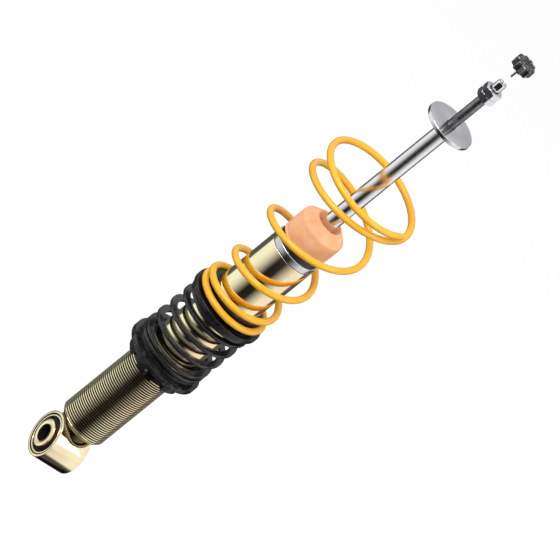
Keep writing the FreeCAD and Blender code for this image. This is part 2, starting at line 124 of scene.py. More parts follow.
STUD = {"r": 5.0, "root": 4.15, "pitch": 1.5, "bottom": 508.6, "top": 564.4, "crest": 0.12}
STUD_TOP = 574.0
STUD_TIP_R = 4.9
STUD_TIP_FLATS = 8.4
FLATS_ANGLE = -36.5
NUT_HALF = 8.5
NUT_HEIGHT = 6.8
NUT_ANGLE = -13.5
NUT_BOTTOMS = (549.8, 556.8)
KNOB_R = 11.1
KNOB_BOTTOM = 595.4
KNOB_TOP = 605.5
KNOB_LOBES = 9
LOBE_ANGLE = -24.5
KEY_R = 1.2
FOAM_BORE_R = 8.15
COIL_STEPS = 96
HELPER_START = 143.5
HELPER_R = 33.8
HELPER_WIRE = (7.0, 3.4)
MAIN_START = -126.5
MAIN_WIRE_R = 3.3
MAIN_END_R = 2.7
HELPER_STATIONS = (
    (0.0, 148.35),
    (1.0, 151.95),
    (1.6, 156.2),
    (2.0, 162.2),
    (3.0, 178.9),
    (4.0, 195.7),
    (4.6, 205.8),
    (4.9, 209.9),
    (5.8, 214.35),
)
MAIN_STATIONS = (
    (-0.2, 224.8, 34.8),
    (0.8, 231.6, 34.8),
    (2.0, 262.5, 34.8),
    (3.0, 315.6, 43.0),
    (4.0, 377.7, 50.4),
    (4.5, 400.8, 52.4),
    (4.8, 405.9, 52.9),
    (5.45, 407.6, 53.0),
)


# ------------------------------------------------------------------ camera, floor and light

def camera_axes():
    """The camera's right, up and backward directions before it is rolled."""
    sin_a, cos_a = math.sin(VIEW_AZIMUTH), math.cos(VIEW_AZIMUTH)
    sin_e, cos_e = math.sin(VIEW_ELEVATION), math.cos(VIEW_ELEVATION)
    right = Vector((cos_a, sin_a, 0))
    back = Vector((sin_a * cos_e, -cos_a * cos_e, sin_e))
    return right, back.cross(right), back


def make_camera():
    right, up, back = camera_axes()
    target = Vector((0, 0, VIEW_TARGET_Z)) + right * VIEW_TARGET_RIGHT
    data = bpy.data.cameras.new("view")
    data.sensor_width = SENSOR
    data.lens = PIXELS_PER_METRE * VIEW_DISTANCE * SENSOR / PICTURE
    data.clip_start, data.clip_end = VIEW_CLIP
    camera = bpy.data.objects.new("view", data)
    turned_right = right * math.cos(VIEW_ROLL) + up * math.sin(VIEW_ROLL)
    turned_up = up * math.cos(VIEW_ROLL) - right * math.sin(VIEW_ROLL)
    turn = Matrix((turned_right, turned_up, back)).transposed()
    camera.matrix_world = Matrix.Translation(target + back * VIEW_DISTANCE) @ turn.to_4x4()
    bpy.context.collection.objects.link(camera)
    bpy.context.scene.camera = camera


make_camera()


def make_floor():
    """Large pale floor far below the damper, with a faint mottle."""
    bm = bmesh.new()
    bmesh.ops.create_grid(bm, x_segments=8, y_segments=8, size=FLOOR_HALF)
    mesh = bpy.data.meshes.new("floor")
    bm.to_mesh(mesh)
    bm.free()
    floor = bpy.data.objects.new("floor", mesh)
    floor.location = (0, 0, FLOOR_Z)
    bpy.context.collection.objects.link(floor)
    surface = Surface("floor_paper", roughness=0.9)
    mottle = surface.noise(0.6, 2)
    surface.colour(surface.ramp(mottle, ((0.3, (0.93, 0.93, 0.93)), (0.7, (0.95, 0.95, 0.95)))))
    mesh.materials.append(surface.material)
    floor.visible_glossy = False
    floor.visible_diffuse = False


def make_world():
    """White studio whose lower half has dark screens, one towards the camera and one behind."""
    world = bpy.data.worlds.new("studio")
    bpy.context.scene.world = world
    world.use_nodes = True
    tree = world.node_tree
    link = tree.links.new

    def step(value, low, high):
        ramp = tree.nodes.new("ShaderNodeMapRange")
        ramp.interpolation_type = "SMOOTHSTEP"
        ramp.inputs["From Min"].default_value = low
        ramp.inputs["From Max"].default_value = high
        link(value, ramp.inputs["Value"])
        return ramp.outputs["Result"]

    def calc(kind, first, second):
        maths = tree.nodes.new("ShaderNodeMath")
        maths.operation = kind
        for socket, value in zip(maths.inputs, (first, second)):
            if isinstance(value, (int, float)):
                socket.default_value = value
            else:
                link(value, socket)
        return maths.outputs["Value"]

    place = tree.nodes.new("ShaderNodeTexCoord")
    turn = tree.nodes.new("ShaderNodeMapping")
    turn.inputs["Rotation"].default_value = (0, 0, math.pi / 2 - VIEW_AZIMUTH + SCREEN_TURN)
    link(place.outputs["Generated"], turn.inputs["Vector"])
    split = tree.nodes.new("ShaderNodeSeparateXYZ")
    link(turn.outputs["Vector"], split.inputs["Vector"])
    flat_x = calc("MULTIPLY", split.outputs["X"], split.outputs["X"])
    flat_y = calc("MULTIPLY", split.outputs["Y"], split.outputs["Y"])
    flat = calc("POWER", calc("ADD", flat_x, flat_y), 0.5)
    facing = calc("DIVIDE", split.outputs["X"], calc("MAXIMUM", flat, 0.001))
    away = calc("MULTIPLY", facing, -1.0)
    near = calc("MULTIPLY", calc("POWER", calc("MAXIMUM", facing, 0.0), FRONT_FALL), FRONT_RISE)
    front_screen = calc("MULTIPLY", calc("MINIMUM", near, 1.0), FRONT_SCREEN)
    back_screen = calc("MULTIPLY", step(away, *BACK_EDGE), BACK_SCREEN)
    down = calc("MULTIPLY", split.outputs["Z"], -1.0)
    below = step(down, *SCREEN_TOP)
    shade = calc("ADD", front_screen, back_screen)
    low_light = calc("SUBTRACT", 1.0, calc("MULTIPLY", shade, below))
    ground = calc("SUBTRACT", 1.0, calc("MULTIPLY", step(down, *GROUND_EDGE), GROUND))
    back_sky = calc("MULTIPLY", step(away, 0.2, 0.9), BACK_SKY)
    low_sky = step(calc("SUBTRACT", 1.0, split.outputs["Z"]), 0.2, 0.6)
    above = calc("SUBTRACT", 1.0, below)
    high_light = calc("SUBTRACT", 1.0, calc("MULTIPLY", calc("MULTIPLY", back_sky, low_sky), above))
    studio = calc("MULTIPLY", calc("MULTIPLY", low_light, ground), high_light)
    seen = tree.nodes.new("ShaderNodeLightPath").outputs["Is Camera Ray"]
    strength = calc("MAXIMUM", studio, seen)
    background = tree.nodes["Background"]
    background.inputs["Color"].default_value = (1.0, 1.0, 1.0, 1.0)
    link(strength, background.inputs["Strength"])


def make_light(name, azimuth, elevation, distance, size, power):
    """Soft area light that looks at the damper's middle."""
    data = bpy.data.lights.new(name, "AREA")
    data.shape = "RECTANGLE"
    data.size = size[0]
    data.size_y = size[1]
    data.energy = power
    lamp = bpy.data.objects.new(name, data)
    a, e = math.radians(azimuth), math.radians(elevation)
    out = Vector((math.sin(a) * math.cos(e), -math.cos(a) * math.cos(e), math.sin(e)))
    lamp.location = Vector((0, 0, VIEW_TARGET_Z)) + out * distance
    lamp.rotation_euler = out.to_track_quat("Z", "Y").to_euler()
    bpy.context.collection.objects.link(lamp)


# ------------------------------------------------------------------ materials

class Surface:
    """One procedural material: a Principled shader, and the nodes that feed it."""

    def __init__(self, name, **sockets):
        self.material = bpy.data.materials.new(name)
        self.material.use_nodes = True
        self.tree = self.material.node_tree
        self.shader = self.tree.nodes["Principled BSDF"]
        self.place = self.add("ShaderNodeTexCoord").outputs["Object"]
        for socket, value in sockets.items():
            label = socket.replace("_", " ").title().replace("Ior", "IOR")
            self.shader.inputs[label].default_value = value

    @classmethod
    def over(cls, material):
        """A surface that goes on with a material already made."""
        surface = cls.__new__(cls)
        surface.material = material
        surface.tree = material.node_tree
        surface.shader = surface.tree.nodes["Principled BSDF"]
        surface.place = surface.tree.nodes["Texture Coordinate"].outputs["Object"]
        return surface

    def radius_share(self, low, high):
        """1 inside a radius from the damper axis, 0 beyond a larger one."""
        split = self.add("ShaderNodeSeparateXYZ", Vector=self.place)
        x, y = split.outputs["X"], split.outputs["Y"]
        squares = self.calc("ADD", self.calc("MULTIPLY", x, x), self.calc("MULTIPLY", y, y))
        return self.level(self.calc("SQRT", squares, 0.0), low, high, 1.0, 0.0)

    def add(self, kind, **inputs):
        made = self.tree.nodes.new(kind)
        for name, value in inputs.items():
            self.feed(value, made.inputs[name])
        return made

    def feed(self, value, socket):
        if isinstance(value, bpy.types.NodeSocket):
            self.tree.links.new(value, socket)
        elif isinstance(value, tuple) and len(value) == 3 and socket.type == "RGBA":
            socket.default_value = (*value, 1.0)
        else:
            socket.default_value = value

    def stretched(self, scale):
        return self.add("ShaderNodeMapping", Vector=self.place, Scale=scale).outputs["Vector"]

    def noise(self, scale, detail=4, stretch=None):
        """Value of a noise with so many features a metre."""
        where = self.stretched(stretch) if stretch else self.place
        made = self.add(
            "ShaderNodeTexNoise", Vector=where, Scale=scale, Detail=detail, Roughness=NOISE_ROUGHNESS)
        return made.outputs["Fac"]

    def cells(self, scale):
        return self.add("ShaderNodeTexVoronoi", Vector=self.place, Scale=scale).outputs["Distance"]

    def ramp(self, value, stops):
        """Colours for a value, given as (position, colour) stops."""
        made = self.add("ShaderNodeValToRGB", Fac=value)
        marks = made.color_ramp.elements
        while len(marks) < len(stops):
            marks.new(1.0)
        for mark, (position, colour) in zip(marks, stops):
            mark.position = position
            mark.color = (*colour, 1.0)
        return made.outputs["Color"]

    def level(self, value, low, high, out_low, out_high):
        """Value mapped from one range to another, clamped."""
        made = self.add("ShaderNodeMapRange", Value=value)
        made.inputs["From Min"].default_value = low
        made.inputs["From Max"].default_value = high
        made.inputs["To Min"].default_value = out_low
        made.inputs["To Max"].default_value = out_high
        return made.outputs["Result"]

    def calc(self, kind, first, second):
        made = self.tree.nodes.new("ShaderNodeMath")
        made.operation = kind
        self.feed(first, made.inputs[0])
        self.feed(second, made.inputs[1])
        return made.outputs["Value"]

    def mix(self, share, first, second):
        made = self.tree.nodes.new("ShaderNodeMix")
        made.data_type = "RGBA"
        colours = [s for s in made.inputs if s.type == "RGBA"]
        self.feed(share, made.inputs[0])
        self.feed(first, colours[0])
        self.feed(second, colours[1])
        return next(s for s in made.outputs if s.type == "RGBA")

    def edges(self):
        """1 on sharp outer edges, 0 elsewhere."""
        bend = self.add("ShaderNodeNewGeometry").outputs["Pointiness"]
        return self.level(bend, 0.51, 0.56, 0.0, 1.0)

    def worn(self, colour, bare, amount, scale=260.0):
        """Colour that shows a bare one in broken patches along outer edges."""
        patches = self.level(self.noise(scale, 5), 0.42, 0.62, 0.0, 1.0)
        share = self.calc("MULTIPLY", self.calc("MULTIPLY", self.edges(), patches), amount)
        return self.mix(share, colour, bare)

    def colour(self, value):
        self.feed(value, self.shader.inputs["Base Color"])

    def roughness(self, value):
        self.feed(value, self.shader.inputs["Roughness"])

    def bump(self, height, distance, strength=1.0):
        """Relief of a height from 0 to 1, as deep as distance in metres."""
        made = self.add("ShaderNodeBump", Height=height)
        made.inputs["Distance"].default_value = distance
        made.inputs["Strength"].default_value = strength
        before = self.shader.inputs["Normal"].links
        if before:
            self.tree.links.new(before[0].from_socket, made.inputs["Normal"])
        self.tree.links.new(made.outputs["Normal"], self.shader.inputs["Normal"])


def turned_metal(name, light, dark, rough, marks):
    """Metal turned on a lathe: faint rings round its axis, small stains and scuffs."""
    surface = Surface(name, metallic=1.0)
    lines = surface.noise(1.0, 3, TURNED_RINGS)
    cloud = surface.noise(45.0, 4)
    colour = surface.ramp(cloud, ((0.32, dark), (0.66, light)))
    surface.colour(surface.worn(colour, tuple(min(1.0, c * 1.12) for c in light), 0.6))
    line_share = surface.calc("MULTIPLY", lines, 0.35)
    grain = surface.calc("ADD", line_share, surface.calc("MULTIPLY", cloud, 0.65))
    surface.roughness(surface.level(grain, 0.3, 0.7, rough * 0.75, rough * 1.35))
    surface.bump(lines, 0.00002 * marks, 0.6)
    surface.bump(surface.noise(900.0, 4), 0.00001 * marks, 0.4)
    return surface.material


def gold_plate():
    """Yellow-passivated zinc on steel: pale gold that drifts to pink and green by noise, over turning
    lines, with painted shade that makes the side towards +X and +Y more orange and dimmer.
    """
    surface = Surface("gold_plate", metallic=1.0)
    split = surface.add("ShaderNodeSeparateXYZ", Vector=surface.place)
    # painted shade: the colour shifts with X and Y, so the side towards +X and +Y takes the dimmer orange
    # end of the ramp
    side_shade_x = surface.level(split.outputs["X"], -0.024, 0.024, -0.09, 0.09)
    side_shade_y = surface.level(split.outputs["Y"], -0.024, 0.024, -0.12, 0.12)
    wander = surface.noise(16.0, 3, (1.0, 1.0, 0.45))
    tint_and_side_shade = surface.calc("ADD", wander, surface.calc("ADD", side_shade_x, side_shade_y))
    gold = surface.ramp(tint_and_side_shade, (
        (0.34, (0.92, 0.88, 0.53)),
        (0.46, (0.97, 0.88, 0.56)),
        (0.56, (0.96, 0.79, 0.50)),
        (0.70, (0.93, 0.70, 0.44)),
    ))
    spots = surface.level(surface.noise(420.0, 5), 0.60, 0.72, 0.0, 0.35)
    stained = surface.mix(spots, gold, (0.62, 0.56, 0.34))
    surface.colour(surface.worn(stained, (0.93, 0.92, 0.86), 0.7))
    cloud = surface.noise(70.0, 4)
    surface.roughness(surface.level(cloud, 0.3, 0.7, 0.06, 0.14))
    surface.bump(surface.noise(1.0, 3, (50.0, 50.0, 3500.0)), 0.00001, 0.5)
    surface.bump(surface.noise(1300.0, 3), 0.000006, 0.4)
    return surface.material


def gold_thread():
    """The tube's plating, with painted shade in the thread's grooves."""
    material = gold_plate()
    material.name = "gold_thread"
    surface = Surface.over(material)
    # painted shade: near-black colour below the crest radius, in the thread's grooves
    groove_shade = surface.radius_share(0.0247, 0.02498)
    plated = surface.shader.inputs["Base Color"].links[0].from_socket
    spots = surface.level(surface.noise(500.0, 3), 0.3, 0.7, 0.85, 1.0)
    share = surface.calc("MULTIPLY", groove_shade, spots)
    surface.colour(surface.mix(share, plated, (0.040, 0.028, 0.014)))
    shine = surface.shader.inputs["Roughness"].links[0].from_socket
    surface.roughness(surface.calc("ADD", shine, surface.calc("MULTIPLY", share, 0.25)))
    return material


def stud_steel():
    """Dark phosphated stud, darker towards its foot by the disc, with painted shade in its thread grooves
    that leaves the crests brighter.
    """
    surface = Surface("stud_steel", metallic=1.0)
    cloud = surface.noise(180.0, 4)
    steel = surface.ramp(cloud, ((0.3, (0.20, 0.20, 0.205)), (0.7, (0.32, 0.32, 0.33))))
    # painted shade: near-black colour below the crest radius, in the stud's thread grooves
    groove_shade = surface.radius_share(0.0045, 0.00497)
    height = surface.add("ShaderNodeSeparateXYZ", Vector=surface.place).outputs["Z"]
    # darker towards the stud's foot, next to the disc
    foot = surface.level(height, 0.509, 0.534, 0.8, 0.0)
    darker_at_foot = surface.mix(foot, steel, (0.05, 0.05, 0.052))
    surface.colour(surface.mix(surface.calc("MULTIPLY", groove_shade, 0.85), darker_at_foot, (0.03, 0.03, 0.032)))
    surface.roughness(surface.level(surface.noise(420.0, 4), 0.3, 0.7, 0.18, 0.34))
    surface.bump(surface.noise(2600.0, 3), 0.00001, 0.5)
    return surface.material


def dark_groove():
    """Painted shade for bores and grooves: near-black steel where shade falls."""
    surface = Surface("dark_groove", metallic=0.2, specular_ior_level=0.3)
    cloud = surface.noise(240.0, 4)
    # painted shade: near-black colour for the faces inside bores and grooves
    surface.colour(surface.ramp(cloud, ((0.3, (0.006, 0.005, 0.004)), (0.7, (0.018, 0.015, 0.011)))))
    surface.roughness(surface.level(cloud, 0.3, 0.7, 0.4, 0.6))
    surface.bump(surface.noise(2200.0, 3), 0.00003, 0.6)
    return surface.material


def black_anodised():
    """Satin black anodising with faint dusty mottling and worn edges."""
    surface = Surface("black_anodised", specular_ior_level=0.26)
    cloud = surface.noise(80.0, 5)
    colour = surface.ramp(cloud, ((0.3, (0.003, 0.003, 0.0035)), (0.7, (0.008, 0.008, 0.009))))
    dust = surface.level(surface.noise(1500.0, 4), 0.64, 0.76, 0.0, 0.16)
    dusty = surface.mix(dust, colour, (0.05, 0.05, 0.05))
    surface.colour(surface.worn(dusty, (0.10, 0.10, 0.105), 0.4))
    surface.roughness(surface.level(cloud, 0.3, 0.7, 0.18, 0.30))
    surface.bump(surface.noise(2600.0, 3), 0.000012, 0.5)
    surface.bump(surface.noise(1.0, 2, (40.0, 40.0, 3000.0)), 0.000008, 0.5)
    return surface.material


def knob_anodised():
    """Glossy black anodising over metal, rubbed bright on the edges of the lobes and the top."""
    surface = Surface("knob_anodised", metallic=0.9)
    cloud = surface.noise(240.0, 4)
    colour = surface.ramp(cloud, ((0.35, (0.03, 0.03, 0.032)), (0.65, (0.10, 0.10, 0.105))))
    surface.colour(surface.worn(colour, (0.75, 0.75, 0.77), 1.0, 900.0))
    surface.roughness(surface.level(cloud, 0.3, 0.7, 0.16, 0.28))
    surface.bump(surface.noise(2400.0, 3), 0.00002, 0.5)
    return surface.material


def powder_coat(name, light, dark, bare, rough, coat, shine):
    """Thick coat with orange peel, faint runs of tone and small chips on edges."""
    surface = Surface(name, coat_weight=coat, coat_roughness=0.12, specular_ior_level=shine)
    cloud = surface.noise(30.0, 4)
    colour = surface.ramp(cloud, ((0.3, dark), (0.68, light)))
    grime = surface.level(surface.noise(650.0, 5), 0.63, 0.75, 0.0, 0.4)
    dirty = surface.mix(grime, colour, tuple(c * 0.55 for c in dark))
    surface.colour(surface.worn(dirty, bare, 0.35, 500.0))
    surface.roughness(surface.level(surface.noise(120.0, 4), 0.3, 0.7, rough * 0.8, rough * 1.3))
    surface.bump(surface.noise(700.0, 2), 0.00004, 0.5)
    surface.bump(surface.noise(2800.0, 2), 0.00001, 0.4)
    return surface.material


def rubber(name, tone, rough):
    """Moulded black rubber: faint bloom, fine pitting."""
    surface = Surface(name, specular_ior_level=0.35)
    bloom = surface.noise(110.0, 5)
    grey = tuple(tone * k for k in (1.0, 1.0, 1.02))
    surface.colour(surface.ramp(bloom, ((0.35, grey), (0.75, tuple(c * 2.2 for c in grey)))))
    surface.roughness(surface.level(bloom, 0.3, 0.7, rough, rough * 1.3))
    surface.bump(surface.noise(2400.0, 4), 0.00006, 0.6)
    return surface.material


def moulded_plastic(name, dark, light, rough):
    """Moulded plastic with a fine spark-eroded grain."""
    surface = Surface(name, specular_ior_level=0.5)
    cloud = surface.noise(90.0, 4)
    tone = surface.ramp(cloud, ((0.3, dark), (0.7, light)))
    surface.colour(surface.worn(tone, tuple(c * 3 for c in light), 0.4))
    surface.roughness(surface.level(cloud, 0.3, 0.7, rough * 0.85, rough * 1.2))
    surface.bump(surface.noise(3200.0, 3), 0.00003, 0.6)
    return surface.material


def bump_foam():
    """Microcellular foam with a moulded skin: tiny pores, soft mottling, darker hollows."""
    surface = Surface(
        "bump_foam", subsurface_weight=0.12, subsurface_scale=0.004, specular_ior_level=0.35)
    surface.shader.inputs["Subsurface Radius"].default_value = (1.0, 0.45, 0.25)
    mottle = surface.noise(55.0, 5)
    skin = surface.ramp(mottle, (
        (0.30, (0.86, 0.38, 0.18)),
        (0.50, (0.94, 0.47, 0.24)),
        (0.72, (0.98, 0.57, 0.33)),
    ))
    pores = surface.level(surface.cells(1500.0), 0.0, 0.24, 1.0, 0.0)
    surface.colour(surface.mix(surface.calc("MULTIPLY", pores, 0.35), skin, (0.55, 0.2, 0.08)))
    surface.roughness(surface.level(mottle, 0.3, 0.7, 0.5, 0.68))
    surface.bump(surface.cells(1500.0), 0.00012, 0.6)
    surface.bump(surface.noise(260.0, 3), 0.0002, 0.5)
    return surface.material


def weld_metal():
    """Weld bead under the plating, with straw and blue heat tints."""
    surface = Surface("weld_metal", metallic=1.0)
    tint = surface.noise(160.0, 4)
    colour = surface.ramp(tint, (
        (0.30, (0.07, 0.05, 0.025)),
        (0.50, (0.24, 0.18, 0.09)),
        (0.62, (0.26, 0.17, 0.11)),
        (0.76, (0.11, 0.115, 0.14)),
    ))
    surface.colour(colour)
    surface.roughness(surface.level(surface.noise(600.0, 4), 0.3, 0.7, 0.22, 0.45))
    surface.bump(surface.noise(1200.0, 4), 0.00008, 0.6)
    return surface.material


def heat_stained():
    """Plating browned by the welding heat, and darker towards the bottom by the bead."""
    surface = Surface("heat_stained", metallic=1.0)
    height = surface.add("ShaderNodeSeparateXYZ", Vector=surface.place).outputs["Z"]
    cloud = surface.noise(120.0, 4)
    straw = surface.ramp(cloud, ((0.3, (0.34, 0.27, 0.13)), (0.7, (0.56, 0.45, 0.25))))
    # darker towards the bottom, next to the weld bead
    darker_low = surface.level(height, 0.024, 0.031, 0.85, 0.2)
    surface.colour(surface.mix(darker_low, straw, (0.05, 0.036, 0.02)))
    surface.roughness(surface.level(cloud, 0.3, 0.7, 0.16, 0.32))
    surface.bump(surface.noise(1500.0, 3), 0.00001, 0.5)
    return surface.material


def cast_metal(name, dark, light, rough):
    """Sintered, cast or rolled metal that is hidden inside the tube."""
    surface = Surface(name, metallic=1.0)
    cloud = surface.noise(150.0, 5)
    surface.colour(surface.worn(surface.ramp(cloud, ((0.3, dark), (0.7, light))), light, 0.5))
    surface.roughness(surface.level(cloud, 0.3, 0.7, rough * 0.8, rough * 1.3))
    surface.bump(surface.noise(2200.0, 4), 0.00003, 0.5)
    return surface.material


def make_materials():
    """The finish for each of the record's material slots, and a few more for parts of a piece."""
    return {
        "gold_plated_steel": gold_plate(),
        "gold_thread": gold_thread(),
        "dark_groove": dark_groove(),
        "stud_steel": stud_steel(),
        "bright_steel": turned_metal("bright_steel", (0.72, 0.72, 0.74), (0.55, 0.55, 0.57), 0.2, 1.2),
        "hard_chrome": turned_metal("hard_chrome", (0.84, 0.84, 0.85), (0.76, 0.76, 0.78), 0.16, 0.3),
        "polished_steel": turned_metal(
            "polished_steel", (0.76, 0.76, 0.80), (0.64, 0.64, 0.69), 0.12, 0.5),
        "weld_metal": weld_metal(),
        "heat_stained": heat_stained(),
        "spring_steel": cast_metal("spring_steel", (0.28, 0.28, 0.3), (0.5, 0.5, 0.52), 0.3),
        "sintered_steel": cast_metal("sintered_steel", (0.16, 0.16, 0.17), (0.33, 0.33, 0.34), 0.5),
        "black_anodised": black_anodised(),
        "knob_anodised": knob_anodised(),
        "aluminium": turned_metal("aluminium", (0.76, 0.76, 0.78), (0.62, 0.62, 0.64), 0.3, 1.0),
        "bronze": turned_metal("bronze", (0.68, 0.48, 0.25), (0.5, 0.34, 0.16), 0.28, 1.0),
        "black_plastic": moulded_plastic(
            "black_plastic", (0.006, 0.006, 0.007), (0.013, 0.013, 0.014), 0.34),
        "low_friction_plastic": moulded_plastic(
            "low_friction_plastic", (0.008, 0.008, 0.009), (0.016, 0.016, 0.018), 0.4),
        "yellow_powder_coat": powder_coat(
            "yellow_powder_coat", (0.94, 0.48, 0.010), (0.85, 0.39, 0.006),
            (0.5, 0.42, 0.3), 0.28, 0.4, 0.35),
        "black_powder_coat": powder_coat(
            "black_powder_coat", (0.010, 0.010, 0.011), (0.004, 0.004, 0.005),
            (0.1, 0.1, 0.105), 0.24, 0.25, 0.3),
        "bush_rubber": rubber("bush_rubber", 0.008, 0.5),
        "seal_rubber": rubber("seal_rubber", 0.008, 0.42),
        "bump_foam": bump_foam(),
    }


# ------------------------------------------------------------------ mesh helpers (all in millimetres)

def smooth_through(stations, turn, column):
    """Smooth value at a turn, by a curve that never overshoots the stations of one column."""
    rises = [(b[column] - a[column]) / (b[0] - a[0]) for a, b in zip(stations, stations[1:])]

    def slope(i):
        before, after = rises[max(i - 1, 0)], rises[min(i, len(rises) - 1)]
        return 2 * before * after / (before + after) if before * after > 0 else 0.0

    i = max(k for k in range(len(rises)) if stations[k][0] <= turn or k == 0)
    here, there = stations[i], stations[i + 1]
    span = there[0] - here[0]
    t = (turn - here[0]) / span
    start = (1 + 2 * t) * (1 - t) ** 2 * here[column] + t * (1 - t) ** 2 * span * slope(i)
    return start + t * t * (3 - 2 * t) * there[column] + t * t * (t - 1) * span * slope(i + 1)


def rounded(points, radius, steps=3):
    """Outline with its corners rounded by up to a radius, or by a point's own third value."""
    result = []
    for i, point in enumerate(points):
        here = Vector(point[:2])
        before = Vector(points[i - 1][:2]) - here
        after = Vector(points[(i + 1) % len(points)][:2]) - here
        bend = before.angle(after, math.pi)
        wanted = point[2] if len(point) > 2 else radius
        if wanted == 0 or bend > math.radians(176):
            result.append(tuple(here))
            continue
        reach = min(wanted / math.tan(bend / 2), before.length * 0.45, after.length * 0.45)
        start = here + before.normalized() * reach
        end = here + after.normalized() * reach
        for k in range(steps + 1):
            t = k / steps
            result.append(tuple(start * (1 - t) ** 2 + here * (2 * t * (1 - t)) + end * t * t))
    return result


def skin(bm, rings, round_trip=True, walls=True):
    """Faces between neighbouring rings of vertices; the last meets the first on a round trip.

    With walls, each ring's last vertex is joined to its first.
    """
    pairs = list(zip(rings, rings[1:]))
    if round_trip:
        pairs.append((rings[-1], rings[0]))
    for here, there in pairs:
        count = len(here)
        for i in range(count if walls else count - 1):
            j = (i + 1) % count
            bm.faces.new((here[i], there[i], there[j], here[j]))


def circle(radius, count=32):
    """Points of a circle."""
    angles = [2 * math.pi * k / count for k in range(count)]
    return [(radius * math.cos(angle), radius * math.sin(angle)) for angle in angles]


def lathe(bm, outline, segments=ROUND, axis="Z", wave=None):
    """Closed ring of revolution from a (radius, height) outline; wave changes a radius by its angle."""
    rings = []
    for k in range(segments):
        angle = 2 * math.pi * k / segments
        ring = []
        for r, z in outline:
            radius = wave(r, angle) if wave else r
            x, y = radius * math.cos(angle), radius * math.sin(angle)
            ring.append(bm.verts.new((x, y, z) if axis == "Z" else (x, -z, y)))
        rings.append(ring)
    skin(bm, rings)


def weld(bm, distance=0.0005):
    """Joins vertices that meet, and drops what has no area."""
    bmesh.ops.remove_doubles(bm, verts=bm.verts, dist=distance)
    bmesh.ops.dissolve_degenerate(bm, edges=bm.edges, dist=distance * 0.5)
    bmesh.ops.recalc_face_normals(bm, faces=bm.faces)


def sweep(bm, path, sections):
    """Sections of (across, up) points, one for each (place, across, up) frame, capped at both ends."""
    rings = []
    for (place, across, up), section in zip(path, sections):
        rings.append([bm.verts.new(place + across * a + up * b) for a, b in section])
    skin(bm, rings, round_trip=False)
    bm.faces.new(rings[0])
    bm.faces.new(rings[-1])


def coil_frames(stations, start_angle, radius_of, level):
    """Frames along a right-handed coil about Z; level keeps the section upright, as flat wire is."""
    first, last = stations[0][0], stations[-1][0]
    count = int((last - first) * COIL_STEPS)

    def place(turn):
        angle = math.radians(start_angle + 360 * turn)
        radius = radius_of(turn)
        height = smooth_through(stations, turn, 1)
        return Vector((radius * math.cos(angle), radius * math.sin(angle), height))

    frames = []
    for k in range(count + 1):
        turn = first + (last - first) * k / count
        before = place(max(first, turn - 0.002))
        after = place(min(last, turn + 0.002))
        heading = (after - before).normalized()
        here = place(turn)
        across = Vector((here.x, here.y, 0)).normalized()
        if level:
            up = Vector((0, 0, 1))
        else:
            across = (across - heading * across.dot(heading)).normalized()
            up = heading.cross(across) * -1
        frames.append((here, across, up))
    return frames


def thread(bm, size, segments):
    """Outside of a helical V thread between two heights, which runs out flat at both."""
    bottom, top, pitch, crest = size["bottom"], size["top"], size["pitch"], size["crest"]
    profile = ((0.0, 0), (crest, 0), (0.45, 1), (0.55, 1), (1.0 - crest, 0))
    turns = int(math.ceil((top - bottom) / pitch)) + 2
    rows = []
    for k in range(segments + 1):
        angle = 2 * math.pi * k / segments
        row = []
        for turn in range(-1, turns):
            for share, cut in profile:
                z = min(top, max(bottom, bottom + pitch * (turn + share + k / segments)))
                fade = min(1.0, 1.5 * (z - bottom) / pitch, 1.5 * (top - z) / pitch)
                r = size["r"] - (size["r"] - size["root"]) * cut * fade
                row.append(bm.verts.new((r * math.cos(angle), r * math.sin(angle), z)))
        rows.append(row)
    skin(bm, rows, round_trip=False, walls=False)


def open_lathe(bm, outline, segments=ROUND):
    """Surface of revolution from an open (radius, height) line, with no first-to-last wall."""
    rings = []
    for k in range(segments):
        angle = 2 * math.pi * k / segments
        rings.append(
            [bm.verts.new((r * math.cos(angle), r * math.sin(angle), z)) for r, z in outline])
    skin(bm, rings, walls=False)


def polar(bm, angles, column, offset=0.0):
    """Closed ring whose (radius, height) outline depends on the angle; offset turns it as a whole."""
    rings = []
    for angle in angles:
        turn = angle + offset
        rings.append([
            bm.verts.new((r * math.cos(turn), r * math.sin(turn), z)) for r, z in column(angle)
        ])
    skin(bm, rings)


def piece(name, bm, body, nodes, slot_name, sharp=32.0):
    """Turns the mesh into an object in metres, smooth but for its sharp edges, that rides on a body."""
    bmesh.ops.recalc_face_normals(bm, faces=bm.faces)
    bmesh.ops.scale(bm, vec=(MM, MM, MM), verts=bm.verts)
    mesh = bpy.data.meshes.new(name)
    bm.to_mesh(mesh)
    bm.free()
    mesh.shade_smooth()
    mesh.set_sharp_from_angle(angle=math.radians(sharp))
    made = bpy.data.objects.new(name, mesh)
    bpy.context.collection.objects.link(made)
    mesh.materials.append(MATERIALS[slot_name])
    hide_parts(*nodes)
    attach(made, body)
    return made


def paint_faces(made, slot_name, chosen):
    """Gives the faces whose middle, in millimetres, is chosen a second finish."""
    made.data.materials.append(MATERIALS[slot_name])
    for face in made.data.polygons:
        if chosen(face.center / MM):
            face.material_index = 1


# ------------------------------------------------------------------ lower eye and bush

def make_lower_eye():
    """Eye ring with rounded rims, and painted shade on the faces of the groove where the bush is pressed
    in.
    """
    bm = bmesh.new()
    outline = rounded([
        (EYE_BORE_R, -EYE_HALF + 1.3, 0.2), (EYE_BORE_R + 1.1, -EYE_HALF, 0.25), (EYE_R, -EYE_HALF),
        (EYE_R, EYE_HALF), (EYE_BORE_R + 1.1, EYE_HALF, 0.25), (EYE_BORE_R, EYE_HALF - 1.3, 0.2),
    ], 0.8)
    lathe(bm, outline, axis="Y")
    made = piece("eye_ring", bm, "damper_body", ["lower_eye"], "gold_plated_steel")
    # painted shade: the groove's faces near the bore get the near-black finish
    paint_faces(made, "dark_groove", lambda c: math.hypot(c.x, c.z) < EYE_BORE_R + 1.0)


